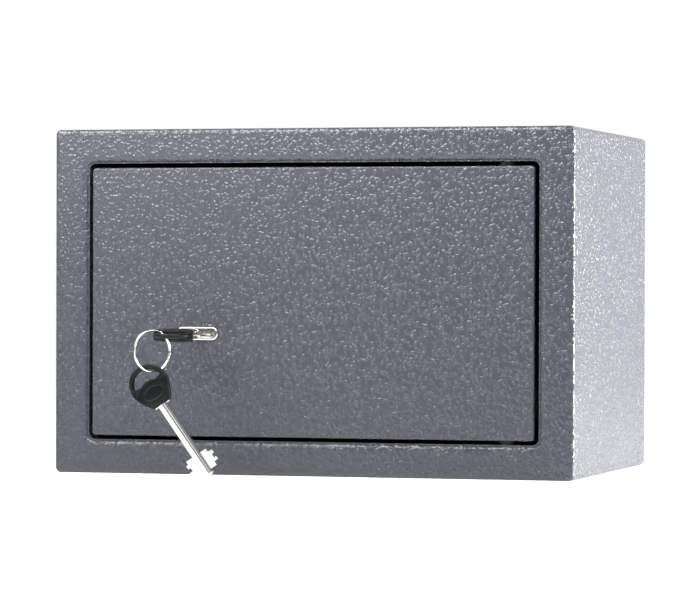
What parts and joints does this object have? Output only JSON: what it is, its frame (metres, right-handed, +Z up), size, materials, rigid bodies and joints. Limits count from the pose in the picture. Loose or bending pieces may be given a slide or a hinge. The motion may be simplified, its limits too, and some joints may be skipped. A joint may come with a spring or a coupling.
{
  "type": "key safe",
  "caption": "Small steel furniture safe with a hinged door, a double-bit key lock that throws round bolts, and keys on a ring.",
  "frame": {"origin": "centre of the underside of the cabinet, on the surface the safe stands on", "axes": "+Z up, +X to the right seen from the front, +Y towards the back"},
  "size_m": [0.31, 0.2652, 0.2],
  "materials": {
    "powder_coat": "textured semi-gloss powder coat",
    "zinc_steel": "zinc plated",
    "bright_steel": "ground",
    "brass": "stamped",
    "nickel_plate": "bright nickel plate",
    "black_nylon": "moulded satin"
  },
  "bodies": {
    "cabinet": {"cabinet_wrap": "powder_coat", "front_frame": "powder_coat", "door_jamb": "powder_coat", "rear_panel": "powder_coat", "hinge_washer_lower": "black_nylon", "hinge_washer_upper": "black_nylon"},
    "door": {"door_plate": "powder_coat", "hinge_block_lower": "zinc_steel", "hinge_block_upper": "zinc_steel", "hinge_pin_lower": "bright_steel", "hinge_pin_upper": "bright_steel", "keyhole_bezel": "nickel_plate", "inner_cover": "powder_coat", "cover_pillars": "zinc_steel", "cover_screws": "zinc_steel", "lock_case": "zinc_steel", "lock_cover": "zinc_steel", "lock_screws": "zinc_steel", "lever_post": "bright_steel", "bolt_guide": "zinc_steel"},
    "bolt_carriage": {"lock_bolt": "brass", "bolt_bar": "zinc_steel", "locking_bolt_lower": "bright_steel", "locking_bolt_upper": "bright_steel", "bolt_screws": "zinc_steel"},
    "lever_a": {"lever_1": "brass", "lever_spring_1": "bright_steel"},
    "lever_b": {"lever_2": "brass", "lever_spring_2": "bright_steel"},
    "lever_c": {"lever_3": "brass", "lever_spring_3": "bright_steel"},
    "rotor": {"keyway_rotor": "brass"},
    "key": {"key_1_blade": "nickel_plate", "key_1_bow": "black_nylon"},
    "ring": {"key_ring": "nickel_plate"},
    "spare_key": {"key_2_blade": "nickel_plate", "key_2_bow": "black_nylon"}
  },
  "joints": [
    {"name": "door_hinge", "type": "hinge", "parent": "cabinet", "child": "door", "pos_m": [0.115, -0.0922, 0.0998], "axis": [0, 0, 1], "range_deg": [0, 100]},
    {"name": "key_turn", "type": "hinge", "parent": "door", "child": "rotor", "pos_m": [-0.0675, -0.097, 0.0816], "axis": [0, -1, 0], "range_deg": [0, 180]},
    {"name": "bolt_throw", "type": "slide", "parent": "door", "child": "bolt_carriage", "axis": [-1, 0, 0], "range_m": [0, 0.012]},
    {"name": "key_withdraw", "type": "slide", "parent": "rotor", "child": "key", "axis": [0, -1, 0], "range_m": [0, 0.022]},
    {"name": "ring_swing", "type": "hinge", "parent": "key", "child": "ring", "pos_m": [-0.07359, -0.1519, 0.08076], "axis": [-0.788, 0.6157, 0], "range_deg": [0, 50]},
    {"name": "spare_key_swing", "type": "hinge", "parent": "ring", "child": "spare_key", "pos_m": [-0.07616, -0.15518, 0.06057], "axis": [-0.6157, -0.788, 0], "range_deg": [0, 45]},
    {"name": "lever_a_lift", "type": "hinge", "parent": "door", "child": "lever_a", "pos_m": [-0.046, -0.091, 0.065], "axis": [0, 1, 0], "range_deg": [0, 3], "stiffness_Nm_per_rad": 0.05},
    {"name": "lever_b_lift", "type": "hinge", "parent": "door", "child": "lever_b", "pos_m": [-0.046, -0.091, 0.065], "axis": [0, 1, 0], "range_deg": [0, 3], "stiffness_Nm_per_rad": 0.05},
    {"name": "lever_c_lift", "type": "hinge", "parent": "door", "child": "lever_c", "pos_m": [-0.046, -0.091, 0.065], "axis": [0, 1, 0], "range_deg": [0, 3], "stiffness_Nm_per_rad": 0.05}
  ],
  "couplings": [
    {"joint": "key_turn", "follows": "bolt_throw", "rad_per_m": 261.8}
  ]
}
